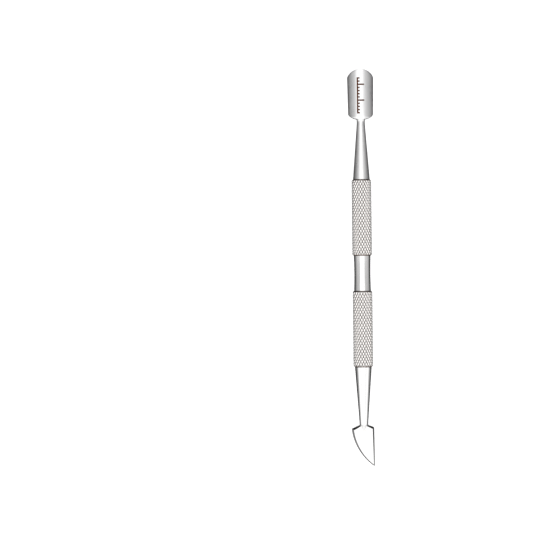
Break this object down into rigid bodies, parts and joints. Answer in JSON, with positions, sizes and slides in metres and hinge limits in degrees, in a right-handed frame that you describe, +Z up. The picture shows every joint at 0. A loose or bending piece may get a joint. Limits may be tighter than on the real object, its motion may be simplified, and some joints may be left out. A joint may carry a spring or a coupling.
{
  "type": "cuticle pusher",
  "caption": "Slim steel hand tool with a curved spoon at one end, a flat curved-edge blade at the other, and knurled grips either side of a smooth waist.",
  "frame": {"origin": "on the surface the tool lies on, under its axis and the middle of its length", "axes": "+Y along the tool towards the spoon's tip, +Z up from the surface and out of the spoon's convex side, +X towards the blade's straight back"},
  "size_m": [0.0082, 0.125, 0.0062],
  "materials": {
    "polished_steel": "polished stainless steel",
    "satin_steel": "satin stainless steel",
    "knurled_steel": "diamond-knurled stainless steel"
  },
  "bodies": {
    "root": {"handle_core": "polished_steel", "spoon_side_grip": "knurled_steel", "blade_side_grip": "knurled_steel", "spoon_end": "satin_steel", "blade_end": "polished_steel"}
  },
  "joints": []
}
